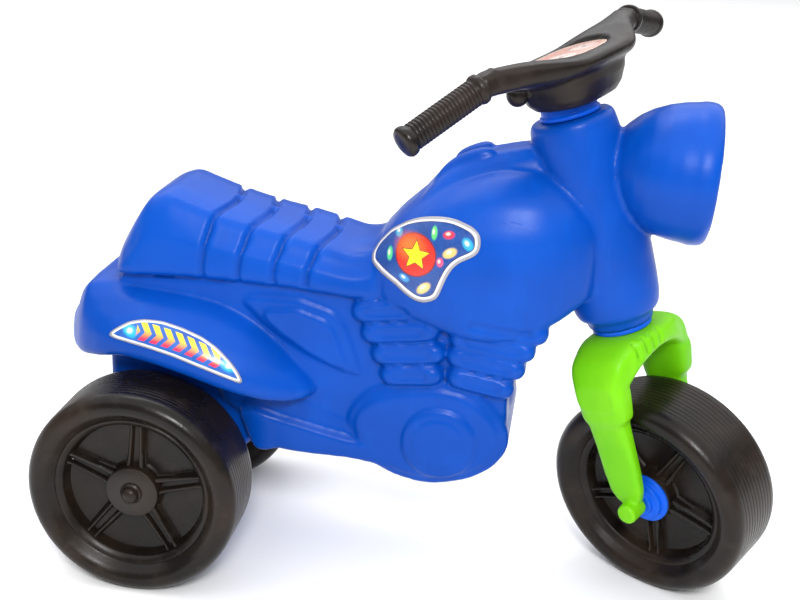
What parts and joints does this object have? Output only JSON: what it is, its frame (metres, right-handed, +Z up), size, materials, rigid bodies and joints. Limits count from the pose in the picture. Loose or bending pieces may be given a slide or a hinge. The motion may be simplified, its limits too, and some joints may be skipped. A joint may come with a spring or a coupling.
{
  "type": "ride-on toy motorcycle",
  "caption": "Foot-to-floor toy motorcycle: hollow blue body, twin rear wheels, raked green fork with a turning handlebar and front wheel, and plain decorative labels.",
  "frame": {"origin": "centre of the overall box, on the floor", "axes": "+X forward, +Y to the rider's left, +Z up; the steering is stored turned to the right, as it was seen"},
  "size_m": [0.6807, 0.3253, 0.5423],
  "materials": {
    "body": "smooth satin",
    "bar": "satin",
    "grip": "ribbed",
    "label": "printed film",
    "bush": "smooth",
    "steel": "zinc plated",
    "fork": "smooth satin",
    "cap": "smooth",
    "wheel": "satin"
  },
  "bodies": {
    "chassis": {"body_shell": "body", "upper_bush": "bush", "lower_bush": "bush", "rear_axle": "steel", "rear_spacer_right": "bush", "rear_spacer_left": "bush", "rear_axle_cap_right": "cap", "rear_axle_cap_left": "cap", "tank_label_right": "label", "tank_label_left": "label", "mudguard_label_right": "label", "mudguard_label_left": "label", "tail_label": "label", "lamp_label": "label"},
    "steering": {"handlebar": "bar", "grip_right": "grip", "grip_left": "grip", "dash_label": "label", "steering_stem": "steel", "stem_bolt": "steel", "stem_washer": "steel", "stem_nut": "steel", "fork": "fork", "front_axle": "steel", "front_axle_cap": "cap", "front_hub_bush_right": "bush", "front_hub_bush_left": "bush"},
    "front_wheel": {"front_wheel": "wheel"},
    "rear_wheel_right": {"rear_wheel_right": "wheel"},
    "rear_wheel_left": {"rear_wheel_left": "wheel"}
  },
  "joints": [
    {"name": "steering_turn", "type": "hinge", "parent": "chassis", "child": "steering", "pos_m": [0.2414, -0.0075, 0.10283], "axis": [-0.3206, 0, 0.9472], "range_deg": [-6.6, 73.4]},
    {"name": "front_wheel_spin", "type": "hinge", "parent": "steering", "child": "front_wheel", "pos_m": [0.2414, -0.0075, 0.10283], "axis": [0.5214, 0.8348, 0.1765], "continuous": true},
    {"name": "rear_wheel_right_spin", "type": "hinge", "parent": "chassis", "child": "rear_wheel_right", "pos_m": [-0.2402, -0.119, 0.1], "axis": [0, 1, 0], "continuous": true},
    {"name": "rear_wheel_left_spin", "type": "hinge", "parent": "chassis", "child": "rear_wheel_left", "pos_m": [-0.2402, 0.104, 0.1], "axis": [0, 1, 0], "continuous": true}
  ]
}
